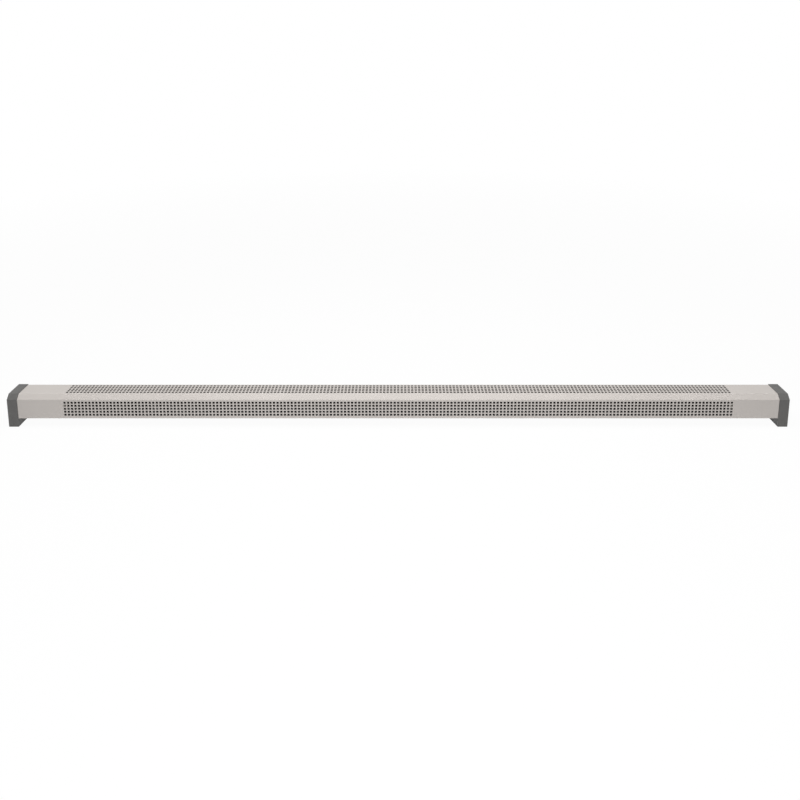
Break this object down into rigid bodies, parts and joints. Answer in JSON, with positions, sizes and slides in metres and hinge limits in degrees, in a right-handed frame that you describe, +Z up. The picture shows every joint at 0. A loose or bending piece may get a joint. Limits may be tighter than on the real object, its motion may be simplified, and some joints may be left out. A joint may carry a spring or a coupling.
{
  "type": "plinth heater",
  "caption": "Long low convector heater with a perforated folded-steel cover, dark moulded end caps that stand on the floor, and a finned hairpin element behind the grille.",
  "frame": {"origin": "on the floor, midway along the heater and midway through its depth", "axes": "+X along the heater to its connection end, -Y to the perforated front, +Y to the wall, +Z up"},
  "size_m": [1.764, 0.052, 0.0756],
  "materials": {
    "cover_enamel": "satin warm grey stoved enamel on folded steel",
    "galvanised_steel": "plain galvanised sheet",
    "cap_moulding": "fine-textured dark grey moulded plastic",
    "element_sheath": "heat-tinted steel tube",
    "fin_steel": "dark oxidised steel sheet",
    "bush_ceramic": "unglazed steatite",
    "shield_aluminium": "rolled aluminium, dulled by heat",
    "zinc_fastener": "zinc-plated steel",
    "brass": "machined brass",
    "block_moulding": "natural moulded nylon",
    "cutout_moulding": "black moulded phenolic",
    "button_moulding": "red moulded plastic",
    "entry_rubber": "black moulded rubber",
    "lead_brown": "brown silicone insulation",
    "lead_blue": "blue silicone insulation",
    "lead_green": "green and yellow silicone insulation"
  },
  "bodies": {
    "chassis": {"perforated_cover": "cover_enamel", "back_plate": "galvanised_steel", "base_tray": "galvanised_steel", "left_bulkhead": "galvanised_steel", "right_bulkhead": "galvanised_steel", "left_support": "galvanised_steel", "right_support": "galvanised_steel", "element_tube": "element_sheath", "element_fins": "fin_steel", "left_bulkhead_bushes": "bush_ceramic", "right_bulkhead_bushes": "bush_ceramic", "left_support_bushes": "bush_ceramic", "right_support_bushes": "bush_ceramic", "element_pins": "zinc_fastener", "pin_insulators": "bush_ceramic", "pin_nuts": "brass", "left_heat_shield": "shield_aluminium", "middle_heat_shield": "shield_aluminium", "right_heat_shield": "shield_aluminium", "shield_rivets": "shield_aluminium", "bracket_screws": "zinc_fastener", "cover_screws": "zinc_fastener", "cutout_body": "cutout_moulding", "cutout_blades": "brass", "cutout_screws": "zinc_fastener", "terminal_block": "block_moulding", "terminal_sleeves": "brass", "terminal_screws": "zinc_fastener", "block_screws": "zinc_fastener", "earth_stud": "zinc_fastener", "earth_nuts": "brass", "cord_clamp": "block_moulding", "clamp_screws": "zinc_fastener", "cable_grommet": "entry_rubber", "blanking_plug": "entry_rubber", "earth_lead": "lead_green", "live_supply_lead": "lead_brown", "live_element_lead": "lead_brown", "neutral_lead": "lead_blue"},
    "left_cap": {"left_end_cap": "cap_moulding"},
    "right_cap": {"right_end_cap": "cap_moulding"},
    "reset_button": {"reset_button": "button_moulding"}
  },
  "joints": [
    {"name": "left_cap_pull", "type": "slide", "parent": "chassis", "child": "left_cap", "axis": [-1, 0, 0], "range_m": [0, 0.04]},
    {"name": "right_cap_pull", "type": "slide", "parent": "chassis", "child": "right_cap", "axis": [1, 0, 0], "range_m": [0, 0.04]},
    {"name": "cutout_reset", "type": "slide", "parent": "chassis", "child": "reset_button", "axis": [1, 0, 0], "range_m": [0, 0.001]}
  ]
}
